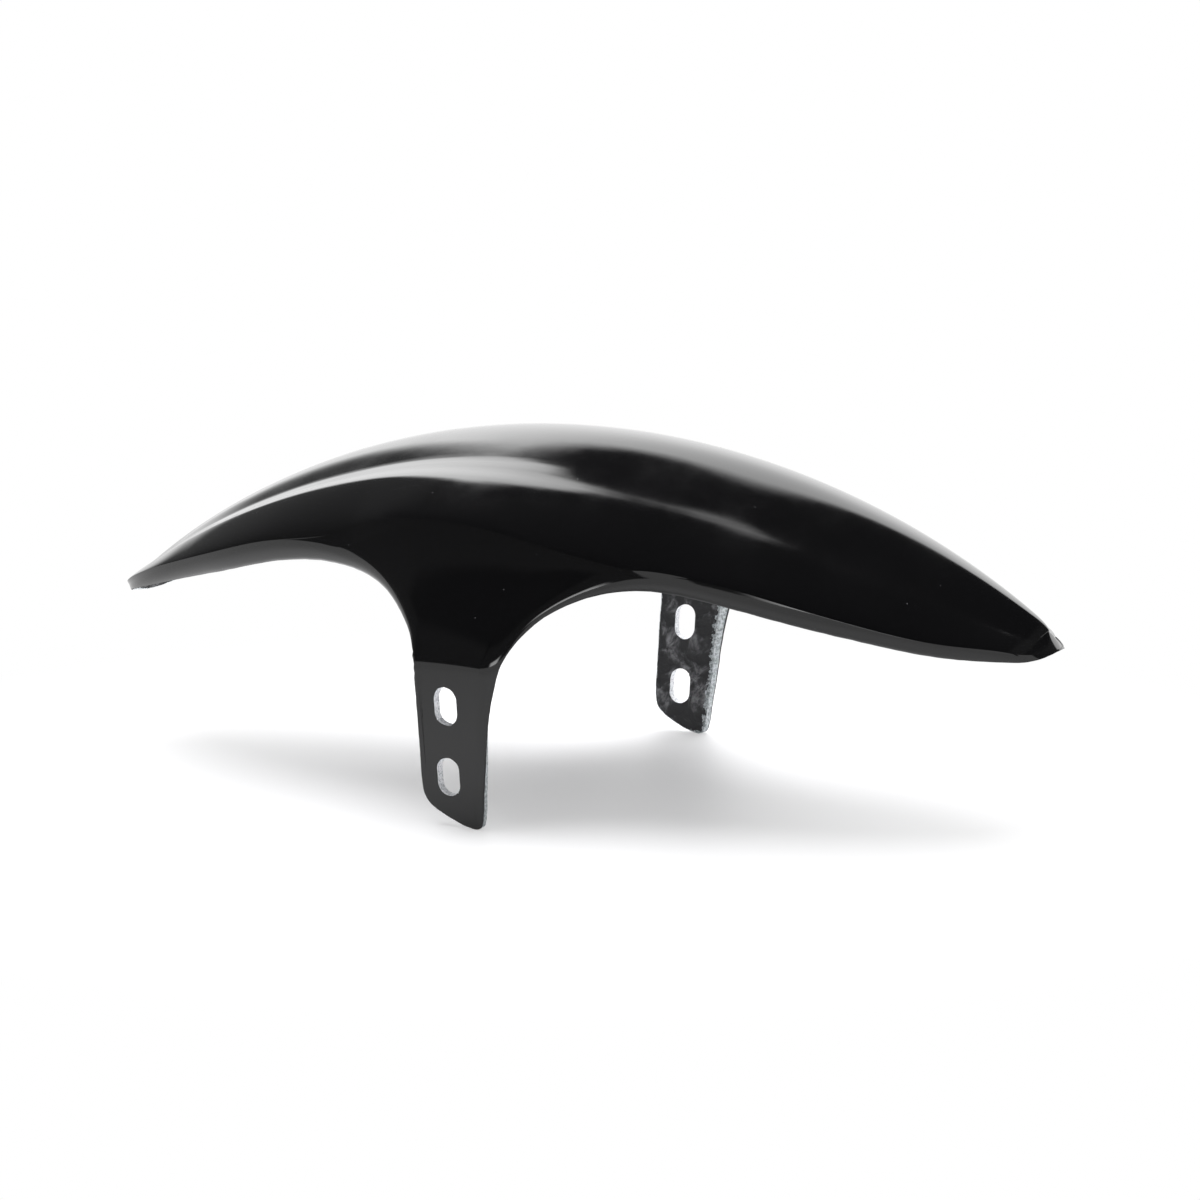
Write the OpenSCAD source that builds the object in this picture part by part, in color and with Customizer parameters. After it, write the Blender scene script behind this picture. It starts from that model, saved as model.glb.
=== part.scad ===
// Short front fender for a motorcycle, moulded in one piece from glass fibre.
// X runs forward to the nose, Y across, and Z up from the tips of the legs.
// The crown line is an arc about the wheel's axle. The near half is worked out and mirrored.

/* [Crown] */
// Outer radius of the crown line about the wheel's axle
crown_r = 341; // [325:1:370]
// Angle from the top of the crown back to the tail tip
tail_angle = 38.9; // [38:0.1:40]
// Angle from the top of the crown forward to the nose tip
nose_angle = 36.3; // [35.5:0.1:37.5]
// Height of the crown's top above the tips of the legs
height = 144.5; // [138:0.5:152]
// Thickness of the laminate
laminate = 4; // [2.5:0.1:4.5]

/* [Section] */
// Width of the body across its shoulders
body_w = 158; // [140:1:170]
// Depth from the crown to the widest line of the shoulder, at the back
rear_shoulder = 23; // [20:0.5:28]
// The same depth at the front
front_shoulder = 36; // [30:0.5:38]
// Height of the raised crown over the flutes, at the back
rear_ridge = 10; // [6:0.5:13]
// The same height at the front
front_ridge = 17; // [12:0.5:19]
// Distance from the centre line to the foot of the ridge, at the back
rear_ridge_half = 41; // [34:1:50]
// The same distance at the front
front_ridge_half = 46; // [38:1:60]
// Fullness of the shoulder at the back, where 2 is an ellipse
rear_fullness = 3; // [2.2:0.1:3.5]
// Fullness of the shoulder at the front
front_fullness = 2; // [2:0.1:2.8]

/* [Legs] */
// Width over the outer faces of the legs at their bend
leg_span = 212.5; // [196:0.5:224]
// Height of the bend over the tips
bend_z = 63; // [61:0.5:70]
// Inward lean of the legs under the bend, in degrees
leg_lean = 6.7; // [3:0.1:9]
// Outward flare of the front wall over its lower edge
front_flare = 11; // [6:0.5:14]

/* [Slots] */
// Width of the bolt slots
slot_w = 9.6; // [7:0.1:11]
// End-to-end length of the bolt slots, upright
slot_len = 15; // [12:0.5:18]
// Height of the lower slot's centre over the tips
low_slot_z = 20; // [17:0.5:24]
// Distance between the centres of the two slots
slot_gap = 28; // [24:0.5:32]
// Distance of the slots in front of the crown's top
slot_x = -0.5; // [-2:0.1:1]

/* [Hidden] */

// Trimmed lower edge of the near side, from the tail round the leg to the nose.
// Each point of this curve's frame is [distance in front of the crown's top, drop
// under the crown line, crown angle of its rib, width of the return's arc, turn of the return].
// It is drawn for the radius and angles below, and is stretched when these change.
drawn_r = 341;
drawn_tail = 38.9;
drawn_nose = 36.3;
trim = [
    [-216, 6, -drawn_tail, 1, 1],
    [-211, 8.5, -37.8, 2.5, 20],
    [-192.5, 17.5, -35, 5.5, 50],
    [-165.5, 27, -30.2, 8, 68],
    [-134.5, 35, -25, 10.5, 75],
    [-108.5, 37.5, -20.5, 11, 75],
    [-83.5, 41, -16, 11, 75],
    [-62, 46.5, -12.5, 11, 75],
    [-42.5, 52.5, -9.5, 10.5, 72],
    [-27, 62, -7.2, 9, 65],
    [-16, 71, -5.4, 6, 40],
    [-13.5, 81.5, -4.4, 4, 20],
    [-13.5, 98.5, -3.4, 3, 5],
    [-13, 115, -2.7, 2.5, 1],
    [-13.5, 129.5, -2.1, 2.5, 1],
    [-11.5, 135.5, -1.5, 2.5, 1],
    [-5, 139.5, -0.7, 2.5, 1],
    [3.5, 143.5, 0.2, 2.5, 1],
    [11, 145, 0.9, 2.5, 1],
    [13, 142, 1.4, 2.5, 1],
    [14, 130, 2, 2.5, 1],
    [16, 115.5, 2.6, 3.5, 10],
    [17.5, 100, 3.4, 5, 30],
    [21, 85.5, 4.5, 7, 50],
    [25.5, 70.5, 6.2, 9, 65],
    [35, 58.5, 8.2, 10.5, 72],
    [51.5, 49, 10.8, 11, 75],
    [72.5, 43.5, 14, 11, 75],
    [96, 42.5, 17.8, 10.5, 75],
    [121, 40.5, 22, 9.5, 75],
    [145.5, 36.5, 26.5, 8.5, 72],
    [168.5, 30.5, 30.5, 7.5, 70],
    [186.5, 20.5, 33.2, 5.5, 50],
    [201, 12, 35.4, 3, 20],
    [206.5, 4.5, drawn_nose, 1, 1],
];
spans = len(trim) - 1;

// The body narrows to its tips as 1 - t^taper_rise, to the power taper_round
taper_rise = 2.2;
taper_round = 0.55;
depth_rise = 3.4;
depth_round = 1;
// The flutes fade out over these crown angles
fade_from = -4;
fade_over = 26;
// The legs' flare is full over this many degrees each side of leg_mid, then fades
leg_mid = 1;
leg_full = 5;
leg_fade = 14;
bend_round = 2;
// The crown line lifts off its arc at the tail, over these last degrees
tail_lift = 0.8;
tail_lift_over = 18;
// Near the tips the wall's width follows its rib's crown angle, from tip_from over tip_over
tip_from = 26;
tip_over = 10;
// The front wall's flare comes and goes over these crown angles
flare_in = 4;
flare_in_over = 10;
flare_out = 22;
flare_out_over = 16;
flare_depth = 26;

axle_z = height - crown_r;
tail_stretch = crown_r * sin(tail_angle) / (drawn_r * sin(drawn_tail));
nose_stretch = crown_r * sin(nose_angle) / (drawn_r * sin(drawn_nose));
tip_gap = 1.3 * laminate / crown_r * 180 / PI;

// Ribs per span of the trim curve, and steps down a rib
end_ribs = 4;
body_ribs = 2;
top_steps = 10;
wall_steps = 5;
return_steps = 3;
steps = top_steps + wall_steps + return_steps;

function clamp01(x) = min(1, max(0, x));
function ease(x) = let (c = clamp01(x)) c * c * (3 - 2 * c);
function mix(a, b, t) = a + (b - a) * t;
function unit(v) = v / norm(v);

// Share of the way from the crown's top to the tip, in the shell whose tips end gap degrees short
function taper(a, gap) = min(1, a > 0 ? a / (nose_angle - gap) : -a / (tail_angle - gap));
function plain(a) = ease((a - fade_from) / fade_over);
function half_w(a, gap, t) =
    (body_w / 2 - t) * pow(1 - pow(taper(a, gap), taper_rise), taper_round);
function deepest(a) = mix(rear_shoulder, front_shoulder, plain(a));
function shoulder(a, gap) = deepest(a) * pow(1 - pow(taper(a, gap), depth_rise), depth_round);

// Top of a rib from the crown (q = 0) to the shoulder's widest line (q = 1), as [half width, depth]
function top_point(a, gap, t, q) =
    let (w = half_w(a, gap, t))
    let (d = shoulder(a, gap))
    let (k = w / (body_w / 2 - t))
    let (ridge = mix(rear_ridge, front_ridge, plain(a)) * k)
    let (foot = mix(rear_ridge_half, front_ridge_half, plain(a)) * k)
    let (full = mix(rear_fullness, front_fullness, plain(a)))
    let (y = w * sin(90 * q))
    let (bell = pow(cos(90 * clamp01(y / max(foot, 0.001))), 2))
    let (roll = 1 - pow(max(0, 1 - pow(sin(90 * q), full)), 1 / full))
    let (depth = ridge * (1 - bell) + max(0, d - ridge) * roll)
    [y, t + depth * (deepest(a) - t) / deepest(a)];

// Side-view point at a crown angle and a depth under the crown line
function lift(a) = tail_lift * ease(1 - (tail_angle + a) / tail_lift_over);
function polar(a, depth) =
    let (radius = crown_r + lift(a) - depth)
    [radius * sin(a), axle_z + radius * cos(a)];

// Half width of the wall at a side-view point of a rib, flared to the legs and along the front
function wall(p, rib_a, gap, t) =
    let (a = atan2(p[0], p[1] - axle_z))
    let (depth = crown_r - norm([p[0], p[1] - axle_z]))
    let (w = half_w(mix(a, rib_a, ease((abs(rib_a) - tip_from) / tip_over)), gap, t))
    let (from = t + shoulder(a, gap) * (deepest(a) - t) / deepest(a))
    let (leg = 1 - ease((abs(a - leg_mid) - leg_full) / leg_fade))
    let (out = leg * (leg_span / 2 - t - w) * ease((depth - from) / (height - bend_z - from)))
    let (band = ease((a - flare_in) / flare_in_over) * (1 - ease((a - flare_out) / flare_out_over)))
    let (under = bend_z - p[1])
    let (lean = leg * tan(leg_lean) * (under + norm([under, bend_round])) / 2)
    w + out + front_flare * band * ease((depth - from) / flare_depth) - lean;

// Uniform cubic B-spline through the trim frame
function trim_at(k) =
    k < 0 ? 2 * trim[0] - trim[1] : k > spans ? 2 * trim[spans] - trim[spans - 1] : trim[k];
function trim_mix(u, weights) =
    let (k = min(floor(u), spans - 1))
    weights(u - k) * [trim_at(k - 1), trim_at(k), trim_at(k + 1), trim_at(k + 2)];
spline = function (t)
    [pow(1 - t, 3), 3 * pow(t, 3) - 6 * t * t + 4, 3 * (t + t * t - pow(t, 3)) + 1, pow(t, 3)] / 6;
slope = function (t)
    [-pow(1 - t, 2), 3 * t * t - 4 * t, 1 + 2 * t - 3 * t * t, t * t] / 2;

function crown_z(x) = axle_z + sqrt(crown_r * crown_r - x * x);

// One rib: side-view edge point, direction into the sheet, crown angle and return arc
function rib(u) =
    let (c = trim_mix(u, spline))
    let (s = trim_mix(u, slope))
    let (stretch = c[0] < 0 ? tail_stretch : nose_stretch)
    let (x = c[0] * stretch)
    let (run = s[0] * stretch)
    let (edge = [x, crown_z(x) - c[1]])
    let (along = unit([run, -x / (crown_z(x) - axle_z) * run - s[1]]))
    let (a = c[2] * (c[2] < 0 ? tail_angle / drawn_tail : nose_angle / drawn_nose))
    [edge, [-along[1], along[0]], a, c[3], c[4]];

// Point of a rib's return, turned in about its own small radius
function return_point(r, gap, t, s) =
    let (radius = r[3] / (r[4] * PI / 180))
    let (turn = r[4] * s)
    let (rise = radius * (sin(r[4]) - sin(turn)) + t * sin(turn))
    let (side = r[0] + r[1] * rise)
    let (flat = max(0, wall(side, r[2], gap, t)))
    let (tuck = max(0, radius - t) * (1 - cos(turn)))
    [side, flat * flat / max(flat + tuck, 0.001)];

// Point j steps down a rib of the outer (t = 0) or inner (t = laminate) face, for side -1 or 1
function shell_point(r, t, j, side) =
    let (gap = t > 0 ? tip_gap : 0)
    let (shrink = r[2] > 0 ? 1 - gap / nose_angle : 1 - gap / tail_angle)
    let (a = r[2] * shrink)
    let (edge = [[r[0][0] * shrink, r[0][1]], r[1], a, r[3], r[4]])
    let (top = top_point(a, gap, t, min(1, j / top_steps)))
    let (brow = polar(a, top_point(a, gap, t, 1)[1]))
    let (fold = return_point(edge, gap, t, 0))
    let (down = mix(brow, fold[0], clamp01((j - top_steps) / wall_steps)))
    let (under = return_point(edge, gap, t, clamp01((j - top_steps - wall_steps) / return_steps)))
    let (view = j <= top_steps ? polar(a, top[1]) : j <= top_steps + wall_steps ? down : under[0])
    let (y = j <= top_steps ? top[0]
        : j <= top_steps + wall_steps ? max(0, wall(down, a, gap, t)) : under[1])
    [view[0], side * y, view[1]];

// Places of the ribs along the trim curve, closer together at the rounded tips
ribs_at = concat(
    [for (i = [0 : end_ribs - 1]) pow(i / end_ribs, 2)],
    [for (k = [1 : spans - 2], i = [0 : body_ribs - 1]) k + i / body_ribs],
    [for (i = [end_ribs : -1 : 0]) spans - pow(i / end_ribs, 2)]
);
ribs = [for (u = ribs_at) rib(u)];
last = len(ribs) - 1;
row = 2 * steps + 1;
stand = min([for (r = ribs) r[0][1]]);
ends_mid = (trim[spans][0] * nose_stretch + trim[0][0] * tail_stretch) / 2;

// The halves close up at the tips, where every point of the top is one point
function place(i, j) =
    let (depth = abs(j))
    i > 0 && i < last ? i * row + j + steps : i * row + max(depth, top_steps) + steps;

function quad(a, b, c, d) =
    [for (f = [[a, c, b], [a, d, c]]) if (f[0] != f[1] && f[1] != f[2] && f[0] != f[2]) f];

// The moulded sheet as one closed solid: outer face, inner face and the trimmed rim between them
module sheet() {
    sides = [for (t = [0, laminate], r = ribs, j = [-steps : steps])
        shell_point(r, t, abs(j), j < 0 ? -1 : 1)];
    inner = (last + 1) * row;
    faces = concat(
        [for (i = [0 : last - 1], j = [-steps : steps - 1])
            each quad(place(i, j), place(i + 1, j), place(i + 1, j + 1), place(i, j + 1))],
        [for (i = [0 : last - 1], j = [-steps : steps - 1])
            each quad(inner + place(i, j + 1), inner + place(i + 1, j + 1),
                inner + place(i + 1, j), inner + place(i, j))],
        [for (i = [0 : last - 1])
            each quad(place(i + 1, -steps), place(i, -steps),
                inner + place(i, -steps), inner + place(i + 1, -steps))],
        [for (i = [0 : last - 1])
            each quad(place(i, steps), place(i + 1, steps),
                inner + place(i + 1, steps), inner + place(i, steps))]
    );
    polyhedron(points = sides, faces = faces);
}

// The upright slots through one leg, with true round ends
module slots(side) {
    reach = slot_len / 2 - slot_w / 2;
    for (z = [low_slot_z, low_slot_z + slot_gap])
        translate([slot_x, side * leg_span / 2, z + stand])
            rotate([90, 0, 0])
                union() {
                    for (end = [-1, 1])
                        translate([0, end * reach, 0])
                            cylinder(d = slot_w, h = leg_span / 4, center = true, $fn = 48);
                    cube([slot_w, 2 * reach, leg_span / 4], center = true);
                }
}

module fender() {
    color("#0d0d0f")
        translate([-ends_mid, 0, -stand])
            difference() {
                sheet();
                slots(-1);
                slots(1);
            }
}

fender();
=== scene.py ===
import math

import bpy
import numpy as np
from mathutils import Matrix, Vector, noise


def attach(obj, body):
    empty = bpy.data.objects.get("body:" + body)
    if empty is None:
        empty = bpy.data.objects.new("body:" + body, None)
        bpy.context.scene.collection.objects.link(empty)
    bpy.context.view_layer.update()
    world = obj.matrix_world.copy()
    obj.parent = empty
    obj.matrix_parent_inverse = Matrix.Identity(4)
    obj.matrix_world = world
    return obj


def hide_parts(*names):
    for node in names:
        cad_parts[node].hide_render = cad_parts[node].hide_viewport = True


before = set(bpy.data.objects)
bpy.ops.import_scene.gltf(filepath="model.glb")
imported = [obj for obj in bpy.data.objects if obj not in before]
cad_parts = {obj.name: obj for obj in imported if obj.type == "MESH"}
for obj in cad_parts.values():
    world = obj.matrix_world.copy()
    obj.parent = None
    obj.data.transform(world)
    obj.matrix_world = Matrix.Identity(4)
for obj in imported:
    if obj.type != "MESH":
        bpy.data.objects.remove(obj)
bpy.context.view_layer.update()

# The looks of the short front fender: one moulded glass-fibre sheet with a black gelcoat face,
# a rough inner face, ground edges and drilled slots. Shape lengths are in mm, and 1 unit is 1 m.
MM = 0.001


# ---------------------------------------------------------------- shape of the moulded sheet

CROWN_R = 341.0
TAIL, NOSE = 38.9, 36.3
HEIGHT = 144.5
LAMINATE = 4.0
HALF_W = 79.0
SHOULDER_REAR, SHOULDER_FRONT = 29.0, 38.0
# Section: how steeply the crown falls away, and the soft crease along each side
FALL_REAR, FALL_FRONT = 0.40, 0.51
CROWN_BEND, CREASE_AT = 13.0, 46.0
# The flank stands proud outside the crease, and a thin line is moulded just inside it at the rear
PROUD_REAR, PROUD_FRONT = 2.9, 0.7
LINE_PROUD = 0.45
SPAN = 212.3
BEND_Z = 63.0
LEAN = math.tan(math.radians(6.7))
FLARE = 11.0
DRAFT = 0.22
AXLE_Z = HEIGHT - CROWN_R
TIP_GAP = math.degrees(1.3 * LAMINATE / CROWN_R)

# Trimmed edge: distance in front of the crown's top, drop under the crown line, crown angle of
# the rib, width of the return's arc and its turn
TRIM = np.array([
    (-216, 6, -TAIL, 1, 1), (-211, 8.5, -37.8, 2.5, 20), (-192.5, 17.5, -35, 5.5, 50),
    (-165.5, 27, -30.2, 8, 68), (-134.5, 35, -25, 10.5, 75), (-108.5, 37.5, -20.5, 11, 75),
    (-83.5, 41, -16, 11, 75), (-62, 46.5, -12.5, 11, 75), (-42.5, 52.5, -9.5, 10.5, 72),
    (-27, 62, -7.2, 9, 65), (-16, 71, -5.4, 6, 40), (-13.5, 81.5, -4.4, 4, 20),
    (-13.5, 98.5, -3.4, 3, 5), (-13, 115, -2.7, 2.5, 1), (-13.5, 129.5, -2.1, 2.5, 1),
    (-11.5, 135.5, -1.5, 2.5, 1), (-5, 139.5, -0.7, 2.5, 1), (3.5, 143.5, 0.2, 2.5, 1),
    (11, 144.9, 0.9, 2.5, 1), (13, 142, 1.4, 2.5, 1), (14, 130, 2, 2.5, 1),
    (16, 115.5, 2.6, 3.5, 10), (17.5, 100, 3.4, 5, 30), (21, 85.5, 4.5, 7, 50),
    (25.5, 70.5, 6.2, 9, 65), (35, 58.5, 8.2, 10.5, 72), (51.5, 49, 10.8, 11, 75),
    (72.5, 43.5, 14, 11, 75), (96, 42.5, 17.8, 10.5, 75), (121, 40.5, 22, 9.5, 75),
    (145.5, 36.5, 26.5, 8.5, 72), (168.5, 30.5, 30.5, 7.5, 70), (186.5, 20.5, 33.2, 5.5, 50),
    (201, 12, 35.4, 3, 20), (206.5, 4.5, NOSE, 1, 1)])
SPANS = len(TRIM) - 1
DEG = math.pi / 180
# Slots as filed: width, length, and each one's place along the leg
SLOT_W, SLOT_LEN = 9.6, 15.0
SLOTS = ((-0.9, 20.0), (-0.1, 48.0))
CUTTER_LEN = 28.0
# From the trim's frame to the part's: middle of its ends, and the tips' height
SHIFT = (4.75, -0.102)


def ease(x):
    x = np.clip(x, 0, 1)
    return x * x * (3 - 2 * x)


def mix(a, b, t):
    return a + (b - a) * t


def lean_out(x):
    """Like ease, but leaning outwards from its start."""
    return mix(ease(x), np.clip(x, 0, 1), 0.5 * (1 - np.clip(x, 0, 1)))


def taper(a, gap):
    return np.minimum(1, np.where(a > 0, a / (NOSE - gap), -a / (TAIL - gap)))


def half_w(a, gap, t):
    return (HALF_W - t) * (1 - taper(a, gap) ** 2.2) ** 0.55


def deepest(a):
    return mix(SHOULDER_REAR, SHOULDER_FRONT, ease((a + 6) / 16))


def dome(a):
    """How far the flank has turned into one round sweep down to the return, towards the tips."""
    return ease((abs(a) - 8) / 12)


def shoulder(a):
    return mix(deepest(a), np.interp(a, RETURN_AT[0], RETURN_AT[1]), dome(a))


def draft(a):
    """How much narrower the shoulder is than the foot of the flank, so that it leaves the mould."""
    flank = np.maximum(0, np.interp(a, RETURN_AT[0], RETURN_AT[1]) - shoulder(a))
    return DRAFT * np.minimum(flank, 20) * ease((-a - 3) / 12)


def top_point(a, gap, t, q):
    """Half width and depth under the crown line of the top, q from 0 at the crown to 1 at the
    shoulder. It falls away from the crown, passes the crease and rounds over to the shoulder."""
    w, d = half_w(a, gap, t) - draft(a), shoulder(a)
    w = np.maximum(w, 0.01)
    k = w / (HALF_W - t)
    y = w * np.sin(90 * DEG * q)
    fall = mix(FALL_REAR, FALL_FRONT, ease((a + 10) / 20))
    fall = np.minimum(fall, 0.9 * d / (CREASE_AT * k))
    crease = CREASE_AT * k
    proud = k * mix(PROUD_REAR, PROUD_FRONT, ease((a + 20) / 32))
    line = LINE_PROUD * k * (1 - ease((a + 2) / 8))
    bend = CROWN_BEND * k
    inner = fall * bend * np.log(np.cosh(np.minimum(y, crease) / bend))
    at_crease = fall * bend * np.log(np.cosh(crease / bend))
    rest = np.maximum(0.5 * k, d + proud + line - at_crease)
    z = np.clip((y - crease) / np.maximum(w - crease, 1e-6), 0, 1)
    straight = np.minimum(0.85, fall * (w - crease) / rest)
    outer = rest * (straight * z + (1 - straight) * (1 - np.sqrt(1 - z * z)))
    soft = proud * (1 + np.tanh((y - crease) / (5 * k))) / 2
    thin = line * (1 + np.tanh((y - 0.8 * crease) / (1.6 * k))) / 2
    depth = inner + outer - soft - thin
    return np.where(w > 0.01, y, 0), t + depth * (deepest(a) - t) / deepest(a)


def tip_round(a):
    """Drop of the crown line as it rounds over at the tips."""
    past = np.clip(np.where(a > 0, (a - NOSE + 1.4) / 1.4, (-a - TAIL + 0.6) / 0.6), 0, 1)
    return np.where(a > 0, 1.4, 1.6) * (1 - np.sqrt(1 - past ** 2))


def polar(a, depth):
    r = CROWN_R + 0.8 * ease(1 - (TAIL + a) / 18) - tip_round(a) - depth
    return r * np.sin(a * DEG), AXLE_Z + r * np.cos(a * DEG)


def wall(x, z, rib_a, gap, t):
    a = np.arctan2(x, z - AXLE_Z) / DEG
    depth = CROWN_R - np.hypot(x, z - AXLE_Z)
    w = half_w(mix(a, rib_a, ease((abs(rib_a) - 26) / 10)), gap, t)
    start = t + shoulder(a) * (deepest(a) - t) / deepest(a)
    leg = 1 - ease((abs(a - 1) - 5) / 14)
    out = leg * (SPAN / 2 - t - w) * lean_out((depth - start) / (HEIGHT - BEND_Z - start))
    band = ease((a - 4) / 10) * (1 - ease((a - 22) / 16))
    under = BEND_Z - z
    lean = leg * LEAN * (under + np.hypot(under, 2)) / 2
    slack = draft(a)
    w = w - slack * (1 - np.clip((depth - start) / np.maximum(slack / DRAFT, 0.01), 0, 1))
    return np.maximum(0, w) + out + FLARE * band * lean_out((depth - start) / 26) - lean


def spline(u):
    c = np.vstack([2 * TRIM[0] - TRIM[1], TRIM, 2 * TRIM[-1] - TRIM[-2]])
    i = np.clip(np.floor(u).astype(int), 0, SPANS - 1)
    t = (u - i)[..., None]
    value = ((1 - t) ** 3 * c[i] + (3 * t ** 3 - 6 * t * t + 4) * c[i + 1]
             + (3 * (t + t * t - t ** 3) + 1) * c[i + 2] + t ** 3 * c[i + 3]) / 6
    slope = (-(1 - t) ** 2 * c[i] + (3 * t * t - 4 * t) * c[i + 1]
             + (1 + 2 * t - 3 * t * t) * c[i + 2] + t * t * c[i + 3]) / 2
    return value, slope


def crown_z(x):
    return AXLE_Z + np.sqrt(CROWN_R ** 2 - x * x)


def rib(u):
    """Edge point, direction into the sheet, crown angle and return arc of the ribs at u."""
    c, s = spline(u)
    x = c[..., 0]
    along = np.stack([s[..., 0], -x / (crown_z(x) - AXLE_Z) * s[..., 0] - s[..., 1]], -1)
    along /= np.linalg.norm(along, axis=-1, keepdims=True)
    return x, crown_z(x) - c[..., 1], -along[..., 1], along[..., 0], c[..., 2], c[..., 3], c[..., 4]


def fold(r, gap, t, s):
    """Point of a rib's return, turned in about its own small radius."""
    x, z, nx, nz, a, width, turn = r
    radius = width / (turn * DEG)
    rise = radius * (np.sin(turn * DEG) - np.sin(turn * s * DEG)) + t * np.sin(turn * s * DEG)
    px, pz = x + nx * rise, z + nz * rise
    flat = np.maximum(0, wall(px, pz, a, gap, t))
    tuck = np.maximum(0, radius - t) * (1 - np.cos(turn * s * DEG))
    return px, flat * flat / np.maximum(flat + tuck, 0.001), pz


def sheet_point(u, j, t):
    """Points of the outer (t = 0) or inner face: j is 0 at the crown, 1 at the shoulder,
    2 where the return starts and 3 at the trimmed edge."""
    r = rib(u)
    gap = TIP_GAP if t > 0 else 0.0
    shrink = np.where(r[4] > 0, 1 - gap / NOSE, 1 - gap / TAIL)
    a = r[4] * shrink
    r = (r[0] * shrink, r[1], r[2], r[3], a, r[5], r[6])
    top_y, top_d = top_point(a, gap, t, np.clip(j, 0, 1))
    brow_d = top_point(a, gap, t, 1.0)[1]
    swing = (np.interp(a, RETURN_AT[0], RETURN_AT[2]) - a) * dome(a)
    top_x, top_z = polar(a + swing * np.clip(top_d / brow_d, 0, 1), top_d)
    brow_x, brow_z = polar(a + swing, brow_d)
    start = fold(r, gap, t, 0.0)
    m = np.clip(j - 1, 0, 1)
    side_x, side_z = mix(brow_x, start[0], m), mix(brow_z, start[2], m)
    side_y = np.maximum(0, wall(side_x, side_z, a, gap, t))
    under = fold(r, gap, t, np.clip(j - 2, 0, 1))
    x = np.where(j <= 1, top_x, np.where(j <= 2, side_x, under[0]))
    y = np.where(j <= 1, top_y, np.where(j <= 2, side_y, under[1]))
    z = np.where(j <= 1, top_z, np.where(j <= 2, side_z, under[2]))
    return np.stack([x, y, z], -1)


def return_starts():
    """Where the return starts: depth under the crown and angle about the axle, by crown angle."""
    x, z, nx, nz, a, width, turn = rib(np.linspace(0, SPANS, 700))
    rise = width / (turn * DEG) * np.sin(turn * DEG)
    depth = CROWN_R - np.hypot(x + nx * rise, z + nz * rise - AXLE_Z)
    angle = np.arctan2(x + nx * rise, z + nz * rise - AXLE_Z) / DEG
    return a, np.maximum(0, np.minimum(depth - 0.8, 40)), angle


RETURN_AT = return_starts()


# ---------------------------------------------------------------- the fender's own mesh

PER_SPAN, TIP_RIBS = 8, 12
TOP_ROWS, WALL_ROWS, RETURN_ROWS = 34, 28, 8
EDGE_CUT = 0.35


def rib_places():
    u = [(i / TIP_RIBS) ** 2 for i in range(TIP_RIBS)]
    u += [k + i / PER_SPAN for k in range(1, SPANS - 1) for i in range(PER_SPAN)]
    u += [SPANS - (i / TIP_RIBS) ** 2 for i in range(TIP_RIBS, -1, -1)]
    return np.array(u)


def row_places(u):
    """Rows down each rib, closer together where the section turns and over the leg's bend."""
    parts = [np.zeros((len(u), 1))]
    for low, rows in ((0, TOP_ROWS), (1, WALL_ROWS)):
        j = np.linspace(low, low + 1, 301)
        p = sheet_point(*np.meshgrid(u, j, indexing="ij"), 0)
        step = np.diff(p, axis=1)
        length = np.linalg.norm(step, axis=2) + 1e-4
        way = step / length[..., None]
        turn = np.zeros_like(length)
        turn[:, 1:] = np.linalg.norm(np.diff(way, axis=1), axis=2)
        bend = 6 * np.exp(-((p[:, 1:, 2] - BEND_Z) / 3) ** 2) * (p[:, 1:, 2] < BEND_Z + 8)
        run = np.cumsum(length * (1 + bend) + 12 * np.minimum(turn, 0.05), axis=1)
        parts.append(np.stack([np.interp(np.linspace(0, r[-1], rows + 1)[1:], r, j[1:])
                               for r in run]))
    last = 1 - EDGE_CUT / np.maximum(1.2, rib(u)[5])
    parts.append(2 + last[:, None] * np.arange(1, RETURN_ROWS + 1) / RETURN_ROWS)
    return np.hstack(parts)


def lay_grid(name, rows, along, across, material):
    """A grid primitive laid on the moulded surface. rows are its points, row by row, in mm, and
    its UV map holds the distance along the trimmed edge and across from it, also in mm."""
    bpy.ops.mesh.primitive_grid_add(
        x_subdivisions=len(along) - 1, y_subdivisions=len(rows) - 1, size=1)
    piece = bpy.context.object
    piece.name = name
    points = np.concatenate(rows) + np.array([SHIFT[0], 0, SHIFT[1]])
    piece.data.vertices.foreach_set("co", (points * MM).ravel())
    corners = np.empty(len(piece.data.loops), dtype=int)
    piece.data.loops.foreach_get("vertex_index", corners)
    spots = np.stack([np.tile(along, len(rows)), np.concatenate(across)], 1)
    piece.data.uv_layers.active.name = "edge_mm"
    piece.data.uv_layers.active.data.foreach_set("uv", spots[corners].ravel())
    piece.data.materials.append(material)
    return piece


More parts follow.
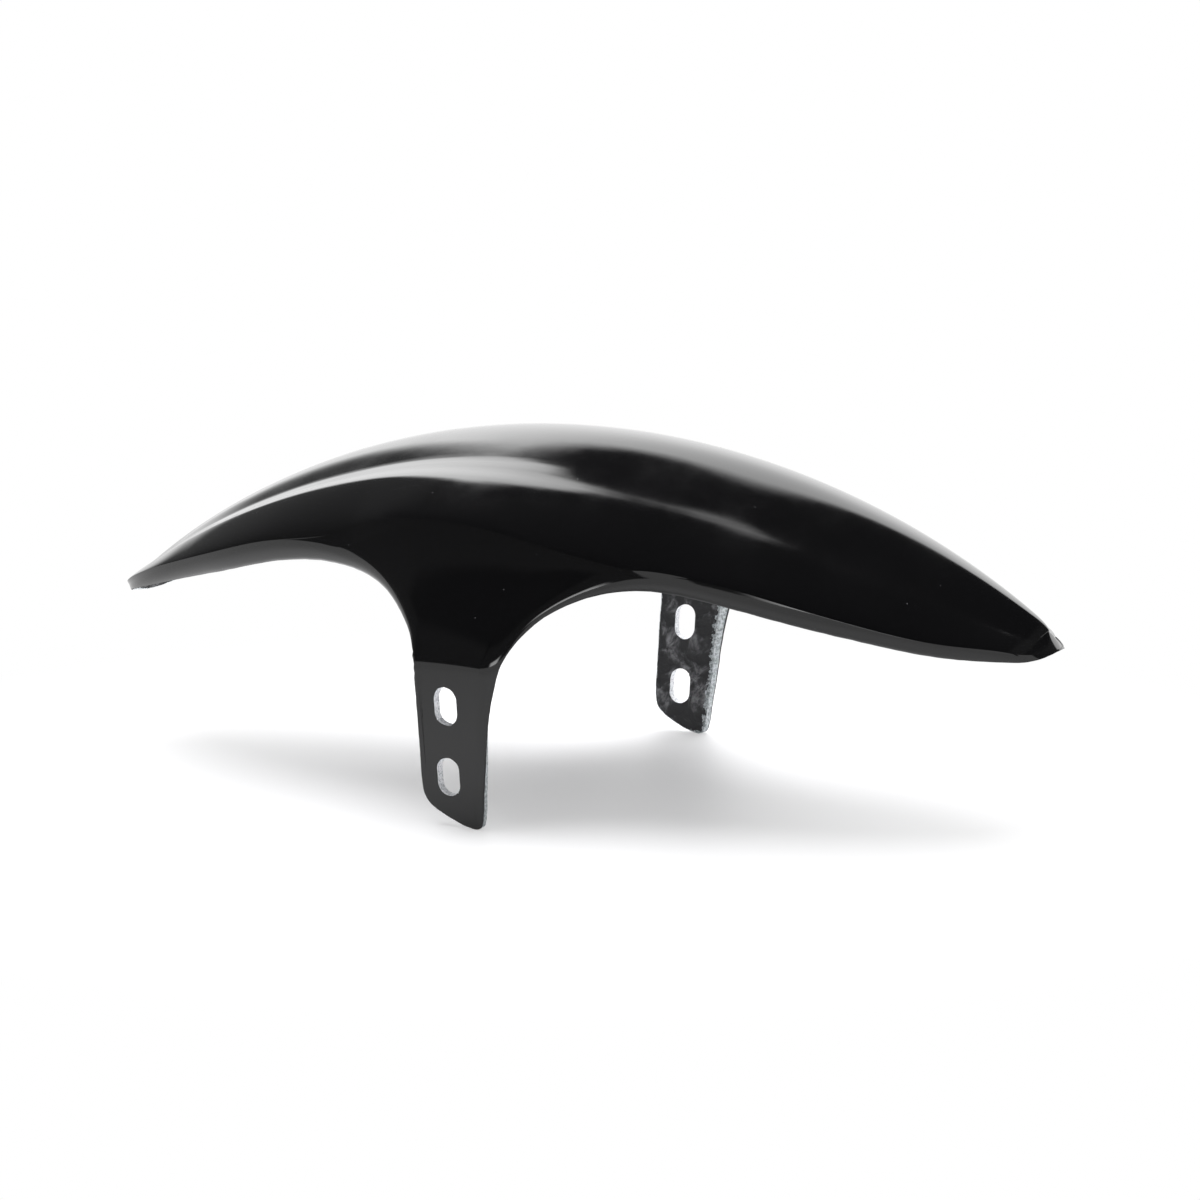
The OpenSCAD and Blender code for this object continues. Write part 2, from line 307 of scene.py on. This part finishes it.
def moulded_sheet(face_material, inner_material, edge_material):
    """The sheet's outer face, inner face and ground edge, laid for each side and joined."""
    u = rib_places()
    j = row_places(u)
    n = j.shape[1] - 1
    uu = np.repeat(u[:, None], n + 1, 1)
    outer, inner = sheet_point(uu, j, 0), sheet_point(uu, j, LAMINATE)
    edge_out, edge_in = (sheet_point(u, np.full_like(u, 3.0), t) for t in (0, LAMINATE))
    nx, nz = rib(u)[2:4]
    into = np.stack([nx, np.zeros_like(nx), nz], -1)
    along = np.concatenate([[0], np.cumsum(np.linalg.norm(np.diff(edge_out, axis=0), axis=1))])
    cut = EDGE_CUT / LAMINATE
    pieces = []
    for side, leg in ((-1, "near"), (1, "far")):
        turn = np.array([1, side, 1])
        # the ground edge wanders a little, and is chipped over the near leg's rear edge
        rough = np.array([noise.noise(Vector((s * 0.35, side * 7.3, 1.7))) +
                          0.6 * noise.noise(Vector((s * 1.3, side * 3.1, 8.2))) for s in along])
        worn = 0.16 * np.clip(rough + 0.3, 0, 1.5)
        if side < 0:
            worn = worn + ease(1 - abs(u - 10.9)) * 0.9 * np.clip(rough + 0.1, 0, 1)
        made = []
        for face, edge in ((outer, edge_out), (inner, edge_in)):
            rows = [face[:, k] * turn for k in range(n + 1)]
            for k in range(n - 3, n + 1):
                rows[k] = rows[k] + into * (worn * ease((k - n + 4) / 4.0))[:, None]
            made.append((rows, edge * turn + into * worn[:, None]))
        (out_rows, out_edge), (in_rows, in_edge) = made
        at_out = [np.linalg.norm(p - out_edge, axis=1) for p in out_rows]
        at_in = [-LAMINATE - np.linalg.norm(p - in_edge, axis=1) for p in in_rows]
        steps = (cut, 0.3, 0.5, 0.7, 1 - cut)
        rim = [out_rows[-1]] + [mix(out_edge, in_edge, f) for f in steps] + [in_rows[-1]]
        at_rim = [np.full_like(u, -LAMINATE * f) for f in (0, *steps, 1)]
        pieces += [lay_grid(leg + "_face", out_rows, along, at_out, face_material),
                   lay_grid(leg + "_inner", in_rows, along, at_in, inner_material),
                   lay_grid(leg + "_edge", rim, along, at_rim, edge_material)]
    bpy.ops.object.select_all(action="DESELECT")
    for piece in pieces:
        piece.select_set(True)
    bpy.context.view_layer.objects.active = pieces[0]
    bpy.ops.object.join()
    sheet = bpy.context.object
    sheet.name = "fender_sheet"
    bpy.ops.object.mode_set(mode="EDIT")
    bpy.ops.mesh.select_all(action="SELECT")
    bpy.ops.mesh.remove_doubles(threshold=2e-6)
    bpy.ops.mesh.dissolve_degenerate(threshold=2e-6)
    bpy.ops.mesh.select_all(action="SELECT")
    bpy.ops.mesh.normals_make_consistent(inside=False)
    bpy.ops.object.mode_set(mode="OBJECT")
    return sheet


def slot_cutter(x, z, side, seed, material):
    """A slot as filed by hand: a cylinder pulled out to true round ends, its outline then made
    slightly uneven, with small nicks."""
    bpy.ops.mesh.primitive_cylinder_add(vertices=96, radius=SLOT_W / 2 * MM, depth=CUTTER_LEN * MM,
                                        rotation=(math.radians(90), 0, 0))
    cutter = bpy.context.object
    bpy.ops.object.transform_apply(location=False, rotation=True, scale=False)
    reach = (SLOT_LEN - SLOT_W) / 2
    wall_y = side * 104.0 * MM
    for corner in cutter.data.vertices:
        a = math.atan2(corner.co.z, corner.co.x)
        wobble = 0.2 * noise.noise(Vector((math.cos(a) * 1.9 + seed, math.sin(a) * 1.9, seed)))
        nick = max(0.0, noise.noise(Vector((math.cos(a) * 6 + seed, math.sin(a) * 6, 3.3))) - 0.35)
        r = (SLOT_W / 2 + wobble + nick) * MM
        end = math.copysign(reach, corner.co.z) * MM
        corner.co = Vector((x * MM + r * math.cos(a), wall_y + corner.co.y,
                            z * MM + r * math.sin(a) + end))
    cutter.data.materials.append(material)
    return cutter


# ---------------------------------------------------------------- materials

def srgb(code):
    """A colour from its sRGB hex code, as linear values."""
    parts = [int(code[i:i + 2], 16) / 255 for i in (1, 3, 5)]
    return tuple(p / 12.92 if p <= 0.04045 else ((p + 0.055) / 1.055) ** 2.4 for p in parts) + (1.0,)


def add(tree, kind, settings, inputs):
    """Adds a node with its settings. inputs gives each socket, by its name or its place, a value,
    an output or a node, which stands for its first output."""
    node = tree.nodes.new("ShaderNode" + kind)
    for key, value in settings.items():
        setattr(node, key, value)
    for socket, value in inputs.items():
        if isinstance(value, bpy.types.Node):
            value = value.outputs[0]
        if isinstance(value, bpy.types.NodeSocket):
            tree.links.new(value, node.inputs[socket])
        else:
            node.inputs[socket].default_value = value
    return node


# Settings that many nodes share
SMOOTH = {"interpolation_type": "SMOOTHSTEP"}
COLOURS = {"data_type": "RGBA"}
TIMES, PLUS, MINUS = {"operation": "MULTIPLY"}, {"operation": "ADD"}, {"operation": "SUBTRACT"}
LARGER, UNSIGNED = {"operation": "MAXIMUM"}, {"operation": "ABSOLUTE"}


def new_material(name):
    """An empty material, its node tree and the object's own coordinates in mm."""
    material = bpy.data.materials.new(name)
    material.use_nodes = True
    tree = material.node_tree
    tree.nodes.clear()
    place = add(tree, "TexCoord", {}, {}).outputs["Object"]
    return material, tree, add(tree, "VectorMath", {"operation": "SCALE"}, {0: place, "Scale": 1000.0})


def gelcoat():
    """Black polyester gelcoat, polished: deep gloss with the faint orange peel of the mould,
    smears left by a cloth and a few specks of dust."""
    material, tree, place = new_material("black_gelcoat")
    # specks under 0.3 mm, 6 mm apart, drawn in a few patches only
    dots = add(tree, "TexVoronoi", {}, {"Vector": place, "Scale": 0.16, "Randomness": 1.0})
    dust = add(tree, "MapRange", SMOOTH, {0: dots, 1: 0.045, 2: 0.02})
    pick = add(tree, "TexNoise", {}, {"Vector": place, "Scale": 0.05, "Detail": 1.0})
    pick = add(tree, "MapRange", SMOOTH, {0: pick, 1: 0.5, 2: 0.62})
    dust = add(tree, "Math", TIMES, {0: dust, 1: pick})
    colour = add(tree, "Mix", COLOURS, {0: dust, 6: srgb("#050506"), 7: srgb("#4a4a4c")})
    # smears about 30 mm across
    smear = add(tree, "TexNoise", {}, {"Vector": place, "Scale": 0.035, "Detail": 3.0, "Roughness": 0.6})
    gloss = add(tree, "MapRange", SMOOTH, {0: smear, 1: 0.3, 2: 0.75, 3: 0.06, 4: 0.13})
    dull = add(tree, "Math", TIMES, {0: dust, 1: 0.4})
    gloss = add(tree, "Math", PLUS, {0: gloss, 1: dull})
    # orange peel about 9 mm across, coarser than the real one so that it shows
    peel = add(tree, "TexNoise", {}, {"Vector": place, "Scale": 0.11, "Detail": 2.0, "Roughness": 0.45})
    bump = add(tree, "Bump", {}, {"Strength": 0.12, "Distance": 0.00012, "Height": peel})
    shader = add(tree, "BsdfPrincipled", {}, {"Base Color": colour.outputs[2], "Roughness": gloss,
                                              "Normal": bump, "IOR": 1.5})
    add(tree, "OutputMaterial", {}, {"Surface": shader})
    return material


def laminate():
    """Bare inner face of chopped-strand laminate in black resin: mottled, matt, with the fibres'
    lighter patches and the lumps that rolling leaves. A ragged strip by the edge is sanded."""
    material, tree, place = new_material("strand_laminate")
    sway = add(tree, "TexNoise", {}, {"Vector": place, "Scale": 0.05, "Detail": 2.0})
    bent = add(tree, "VectorMath", {"operation": "MULTIPLY_ADD"},
               {0: sway.outputs["Color"], 1: (14.0, 14.0, 14.0), 2: place})
    # lumps about 8 mm across, with strands about 2 mm across and three times as long
    broad = add(tree, "TexNoise", {}, {"Vector": bent, "Scale": 0.13, "Detail": 3.0, "Roughness": 0.6})
    strands = add(tree, "Mapping", {"vector_type": "TEXTURE"},
                  {"Vector": bent, "Scale": (1.0, 1.0, 3.0), "Rotation": (0.5, 0.35, 0.2)})
    fibre = add(tree, "TexNoise", {}, {"Vector": strands, "Scale": 0.5, "Detail": 4.0, "Roughness": 0.65})
    patch = add(tree, "MapRange", SMOOTH, {0: broad, 1: 0.44, 2: 0.68})
    thread = add(tree, "MapRange", SMOOTH, {0: fibre, 1: 0.32, 2: 0.66})
    patch = add(tree, "Math", TIMES, {0: patch, 1: thread})
    resin = add(tree, "Mix", COLOURS, {0: patch, 6: srgb("#2b2b2d"), 7: srgb("#8d8d90")})
    # the sanded strip is up to 3.4 mm wide, and narrow behind the legs' middle
    from_edge = add(tree, "SeparateXYZ", {}, {0: add(tree, "UVMap", {"uv_map": "edge_mm"}, {})})
    inward = add(tree, "Math", TIMES, {0: from_edge.outputs[1], 1: -1.0})
    away = add(tree, "Math", MINUS, {0: inward, 1: LAMINATE})
    ragged = add(tree, "TexNoise", {}, {"Vector": place, "Scale": 0.45, "Detail": 3.0, "Roughness": 0.6})
    ragged = add(tree, "MapRange", SMOOTH, {0: ragged, 1: 0.3, 2: 0.7, 3: 0.2, 4: 3.4})
    forward = add(tree, "SeparateXYZ", {}, {0: place})
    front = add(tree, "MapRange", SMOOTH, {0: forward, 1: 8.0, 2: 16.0, 3: 0.2, 4: 1.0})
    width = add(tree, "Math", TIMES, {0: front, 1: ragged})
    sanded = add(tree, "Math", MINUS, {0: width, 1: away})
    sanded = add(tree, "MapRange", SMOOTH, {0: sanded, 1: -0.15, 2: 0.15})
    speck = add(tree, "TexNoise", {}, {"Vector": place, "Scale": 1.1, "Detail": 3.0})
    speck = add(tree, "MapRange", SMOOTH, {0: speck, 1: 0.35, 2: 0.65})
    pale = add(tree, "Mix", COLOURS, {0: speck, 6: srgb("#7f8688"), 7: srgb("#c9cfd1")})
    colour = add(tree, "Mix", COLOURS, {0: sanded, 6: resin.outputs[2], 7: pale.outputs[2]})
    sheen = add(tree, "MapRange", SMOOTH, {0: fibre, 1: 0.3, 2: 0.7, 3: 0.38, 4: 0.62})
    rolled = add(tree, "Math", TIMES, {0: broad, 1: 1.4})
    threads = add(tree, "Math", TIMES, {0: fibre, 1: 0.5})
    lumps = add(tree, "Math", PLUS, {0: rolled, 1: threads})
    bump = add(tree, "Bump", {}, {"Strength": 0.6, "Distance": 0.0009, "Height": lumps})
    shader = add(tree, "BsdfPrincipled", {}, {"Base Color": colour.outputs[2], "Roughness": sheen,
                                              "Normal": bump})
    add(tree, "OutputMaterial", {}, {"Surface": shader})
    return material


def ground_edge():
    """Trimmed edge: the black gelcoat skin, then pale sanded glass laminate with darker resin."""
    material, tree, place = new_material("sanded_laminate_edge")
    depth = add(tree, "SeparateXYZ", {}, {0: add(tree, "UVMap", {"uv_map": "edge_mm"}, {})})
    # grain about 1 mm across
    grain = add(tree, "TexNoise", {}, {"Vector": place, "Scale": 0.8, "Detail": 4.0, "Roughness": 0.65})
    waver = add(tree, "Math", TIMES, {0: grain, 1: 0.5})
    skin = add(tree, "Math", PLUS, {0: depth.outputs[1], 1: waver})
    skin = add(tree, "MapRange", SMOOTH, {0: skin, 1: -0.75, 2: -0.5})
    glass = add(tree, "MapRange", SMOOTH, {0: grain, 1: 0.36, 2: 0.62})
    pale = add(tree, "Mix", COLOURS, {0: glass, 6: srgb("#8a9193"), 7: srgb("#d9dee0")})
    colour = add(tree, "Mix", COLOURS, {0: skin, 6: pale.outputs[2], 7: srgb("#1a1a1c")})
    bump = add(tree, "Bump", {}, {"Strength": 0.5, "Distance": 0.0003, "Height": grain})
    shader = add(tree, "BsdfPrincipled", {}, {"Base Color": colour.outputs[2], "Roughness": 0.65,
                                              "Normal": bump})
    add(tree, "OutputMaterial", {}, {"Surface": shader})
    return material


def drilled_wall():
    """Filed wall of a bolt slot: pale glass laminate with fine tool marks."""
    material, tree, place = new_material("filed_laminate_slot")
    # tool marks under 1 mm across
    marks = add(tree, "TexNoise", {}, {"Vector": place, "Scale": 1.2, "Detail": 4.0, "Roughness": 0.6})
    glass = add(tree, "MapRange", SMOOTH, {0: marks, 1: 0.34, 2: 0.55})
    colour = add(tree, "Mix", COLOURS, {0: glass, 6: srgb("#a9adb2"), 7: srgb("#f2f3f5")})
    bump = add(tree, "Bump", {}, {"Strength": 0.4, "Distance": 0.0002, "Height": marks})
    shader = add(tree, "BsdfPrincipled", {}, {"Base Color": colour.outputs[2], "Roughness": 0.6,
                                              "Normal": bump})
    add(tree, "OutputMaterial", {}, {"Surface": shader})
    return material


sheet = moulded_sheet(gelcoat(), laminate(), ground_edge())
filed = drilled_wall()
for side, leg in ((-1, "near"), (1, "far")):
    for number, (x, z) in enumerate(SLOTS):
        cutter = slot_cutter(x + SHIFT[0], z, side, 2.7 * number + side, filed)
        cut = sheet.modifiers.new("%s_slot_%d" % (leg, number), "BOOLEAN")
        cut.operation, cut.solver, cut.object = "DIFFERENCE", "EXACT", cutter
        cut.material_mode = "TRANSFER"
        bpy.context.view_layer.objects.active = sheet
        bpy.ops.object.modifier_apply(modifier=cut.name)
        bpy.data.objects.remove(cutter, do_unlink=True)
bpy.ops.object.select_all(action="DESELECT")
sheet.select_set(True)
bpy.context.view_layer.objects.active = sheet
bpy.ops.object.shade_smooth_by_angle(angle=math.radians(35))
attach(sheet, "root")
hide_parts("fender")


# ---------------------------------------------------------------- floor, light and camera

def studio_floor():
    """White studio floor of matt card. Round the part it takes its light and shadow; further
    out it is as white as the wall behind, for the camera and in the gelcoat's reflections."""
    material, tree, place = new_material("white_studio_floor")
    card = add(tree, "BsdfPrincipled", {}, {"Base Color": srgb("#f4f4f6"), "Roughness": 0.5,
                                            "Specular IOR Level": 0.25})
    away = add(tree, "VectorMath", {"operation": "LENGTH"}, {0: place}).outputs["Value"]
    white = add(tree, "MapRange", SMOOTH, {0: away, 1: -100.0, 2: 340.0})
    ray = add(tree, "LightPath", {}, {}).outputs
    seen = add(tree, "Math", LARGER, {0: ray["Is Camera Ray"], 1: ray["Is Glossy Ray"]})
    share = add(tree, "Math", TIMES, {0: seen, 1: white})
    glow = add(tree, "Emission", {}, {"Color": srgb("#ffffff"), "Strength": 1.0})
    both = add(tree, "MixShader", {}, {0: share, 1: card, 2: glow})
    add(tree, "OutputMaterial", {}, {"Surface": both})
    bpy.ops.mesh.primitive_plane_add(size=40, location=(0, 0, 0))
    floor = bpy.context.object
    floor.name = "studio_floor"
    floor.data.materials.append(material)


def studio_world():
    """White for the camera. In reflections: a tall bright screen behind the part, a white low
    sweep, and a dim room on the camera's side with a bright card low behind it. Angles are in
    degrees, side from straight ahead and rise from level."""
    world = bpy.data.worlds.new("studio")
    bpy.context.scene.world = world
    world.use_nodes = True
    tree = world.node_tree
    tree.nodes.clear()
    way = add(tree, "TexCoord", {}, {}).outputs["Generated"]
    turned = add(tree, "VectorRotate", {"rotation_type": "Z_AXIS"}, {"Vector": way, "Angle": -VIEW_AZ})
    right, ahead, up = add(tree, "SeparateXYZ", {}, {0: turned}).outputs
    side = add(tree, "Math", {"operation": "ARCTAN2"}, {0: right, 1: ahead})
    side = add(tree, "Math", TIMES, {0: side, 1: 180 / math.pi})
    rise = add(tree, "Math", {"operation": "ARCSINE"}, {0: up})
    rise = add(tree, "Math", TIMES, {0: rise, 1: 180 / math.pi})
    apart = add(tree, "Math", UNSIGNED, {0: side})
    # the screen, with its left edge upright and its top arched
    off = add(tree, "Math", MINUS, {0: side, 1: 14.0})
    arch = add(tree, "Math", TIMES, {0: off, 1: off})
    arch = add(tree, "Math", TIMES, {0: arch, 1: 0.022})
    top = add(tree, "Math", MINUS, {0: 66.0, 1: arch})
    below = add(tree, "Math", MINUS, {0: top, 1: rise})
    below = add(tree, "MapRange", SMOOTH, {0: below, 1: -2.0, 2: 5.0})
    left = add(tree, "MapRange", SMOOTH, {0: side, 1: -18.5, 2: -14.5})
    screen = add(tree, "Math", TIMES, {0: below, 1: left})
    level = add(tree, "MapRange", SMOOTH, {0: rise, 1: 0.0, 2: 45.0, 3: 1.3, 4: 3.8})
    screen = add(tree, "Math", TIMES, {0: screen, 1: level})
    # the sweep and the dim room
    low = add(tree, "MapRange", SMOOTH, {0: rise, 1: 12.0, 2: 3.0})
    wide = add(tree, "MapRange", SMOOTH, {0: apart, 1: 75.0, 2: 40.0})
    sweep = add(tree, "Math", TIMES, {0: low, 1: wide})
    light = add(tree, "Math", LARGER, {0: screen, 1: sweep})
    room = add(tree, "MapRange", SMOOTH, {0: rise, 1: 48.0, 2: 40.0, 3: 0.06, 4: 0.13})
    light = add(tree, "Math", PLUS, {0: light, 1: room})
    # the card behind the camera
    behind = add(tree, "MapRange", SMOOTH, {0: apart, 1: 160.0, 2: 172.0})
    level = add(tree, "MapRange", SMOOTH, {0: rise, 1: 14.0, 2: 8.0, 3: 0.0, 4: 6.0})
    card = add(tree, "Math", TIMES, {0: behind, 1: level})
    light = add(tree, "Math", PLUS, {0: light, 1: card})
    seen = add(tree, "LightPath", {}, {}).outputs["Is Camera Ray"]
    strength = add(tree, "Mix", {"data_type": "FLOAT"}, {0: seen, 2: light, 3: 1.0})
    glow = add(tree, "Background", {}, {"Color": srgb("#ffffff"), "Strength": strength})
    add(tree, "OutputWorld", {}, {"Surface": glow})


def soft_light(name, place, size, power):
    """A round soft box that points at the part and isn't seen in its gloss."""
    lamp = bpy.data.lights.new(name, "AREA")
    lamp.shape, lamp.size, lamp.energy = "DISK", size, power
    light = bpy.data.objects.new(name, lamp)
    bpy.context.collection.objects.link(light)
    light.location = place
    aim = Vector((0, 0, 0.05)) - Vector(place)
    light.rotation_euler = aim.to_track_quat("-Z", "Y").to_euler()
    light.visible_glossy = False
    light.visible_camera = False


VIEW_AZ, VIEW_EL, VIEW_FAR = math.radians(27.8), math.radians(9.75), 1.213
VIEW_AT = Vector((0.01555, 0, 0.07375))
studio_floor()
studio_world()
soft_light("overhead_soft", (-0.3, 0.35, 2.2), 2.6, 118)

camera = bpy.data.objects.new("camera", bpy.data.cameras.new("camera"))
bpy.context.collection.objects.link(camera)
bpy.context.scene.camera = camera
camera.data.sensor_width, camera.data.lens = 36, 90
view_from = Vector((math.sin(VIEW_AZ) * math.cos(VIEW_EL), -math.cos(VIEW_AZ) * math.cos(VIEW_EL),
                    math.sin(VIEW_EL)))
camera.location = VIEW_AT + view_from * VIEW_FAR
camera.rotation_euler = (-view_from).to_track_quat("-Z", "Y").to_euler()
bpy.context.scene.view_settings.view_transform = "Standard"
